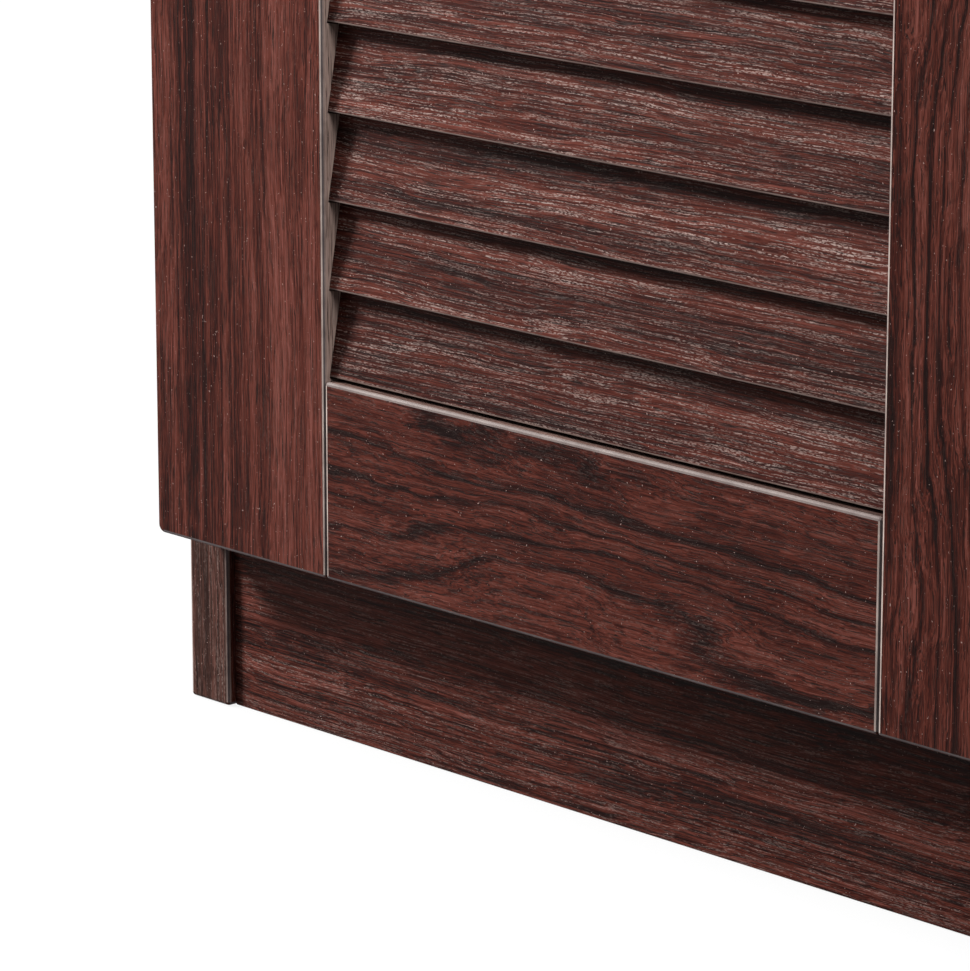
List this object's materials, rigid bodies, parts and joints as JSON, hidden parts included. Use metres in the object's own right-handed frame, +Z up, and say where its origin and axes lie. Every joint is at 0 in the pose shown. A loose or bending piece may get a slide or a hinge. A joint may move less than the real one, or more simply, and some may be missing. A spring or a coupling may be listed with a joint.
{
  "type": "shoe cabinet",
  "caption": "Freestanding shoe cabinet with two hinged louvred doors, a recessed plinth, adjustable shelves inside and a flat top.",
  "frame": {"origin": "middle of the footprint on the floor, knobs included", "axes": "+X to the right as seen from the front, +Y from the doors to the back, +Z up"},
  "size_m": [0.78, 0.3752, 0.902],
  "materials": {
    "laminate_panel": "dark rosewood-print melamine, satin",
    "laminate_stile": "dark rosewood-print melamine, satin, grain upright",
    "laminate_rail": "dark rosewood-print melamine, satin, grain across",
    "laminate_slat": "dark rosewood-print foil, satin, grain across",
    "laminate_plinth": "dark rosewood-print melamine, satin, grain across",
    "laminate_shelf": "dark rosewood-print melamine, satin",
    "hardboard": "brown hardboard, printed inside face",
    "beech": "beech dowel",
    "cast_zinc": "die-cast zinc",
    "zinc_steel": "zinc plated",
    "nickel_steel": "nickel plated pressing",
    "knob_metal": "satin nickel",
    "catch_plastic": "brown moulded plastic",
    "magnet": "dark grey magnet"
  },
  "bodies": {
    "carcass": {"side_panel_left": "laminate_panel", "side_panel_right": "laminate_panel", "top_panel": "laminate_panel", "bottom_panel": "laminate_panel", "toe_kick_board": "laminate_plinth", "plinth_rail_rear": "laminate_plinth", "back_panel": "hardboard", "back_panel_nails": "zinc_steel", "shelf_1": "laminate_shelf", "shelf_2": "laminate_shelf", "shelf_3": "laminate_shelf", "shelf_4": "laminate_shelf", "shelf_pins": "zinc_steel", "carcass_dowels": "beech", "cam_locks": "cast_zinc", "cam_bolts": "zinc_steel", "hinge_plates": "nickel_steel", "hinge_plate_screws": "zinc_steel", "hinge_arms": "nickel_steel", "hinge_arm_screws": "zinc_steel", "catch_housings": "catch_plastic", "catch_magnets": "magnet", "catch_screws": "zinc_steel"},
    "door_left": {"door_left_stile_outer": "laminate_stile", "door_left_stile_inner": "laminate_stile", "door_left_rail_bottom": "laminate_rail", "door_left_rail_top": "laminate_rail", "door_left_louvre_slats": "laminate_slat", "door_left_rail_dowels": "beech", "door_left_hinge_cups": "nickel_steel", "door_left_hinge_cup_screws": "zinc_steel", "door_left_hinge_pins": "zinc_steel", "door_left_knob": "knob_metal", "door_left_knob_screw": "zinc_steel", "door_left_strike_plate": "zinc_steel", "door_left_strike_screw": "zinc_steel"},
    "door_right": {"door_right_stile_outer": "laminate_stile", "door_right_stile_inner": "laminate_stile", "door_right_rail_bottom": "laminate_rail", "door_right_rail_top": "laminate_rail", "door_right_louvre_slats": "laminate_slat", "door_right_rail_dowels": "beech", "door_right_hinge_cups": "nickel_steel", "door_right_hinge_cup_screws": "zinc_steel", "door_right_hinge_pins": "zinc_steel", "door_right_knob": "knob_metal", "door_right_knob_screw": "zinc_steel", "door_right_strike_plate": "zinc_steel", "door_right_strike_screw": "zinc_steel"}
  },
  "joints": [
    {"name": "door_left_swing", "type": "hinge", "parent": "carcass", "child": "door_left", "pos_m": [-0.3727, -0.15715, 0.48], "axis": [0, 0, -1], "range_deg": [0, 95]},
    {"name": "door_right_swing", "type": "hinge", "parent": "carcass", "child": "door_right", "pos_m": [0.3727, -0.15715, 0.48], "axis": [0, 0, 1], "range_deg": [0, 95]}
  ]
}
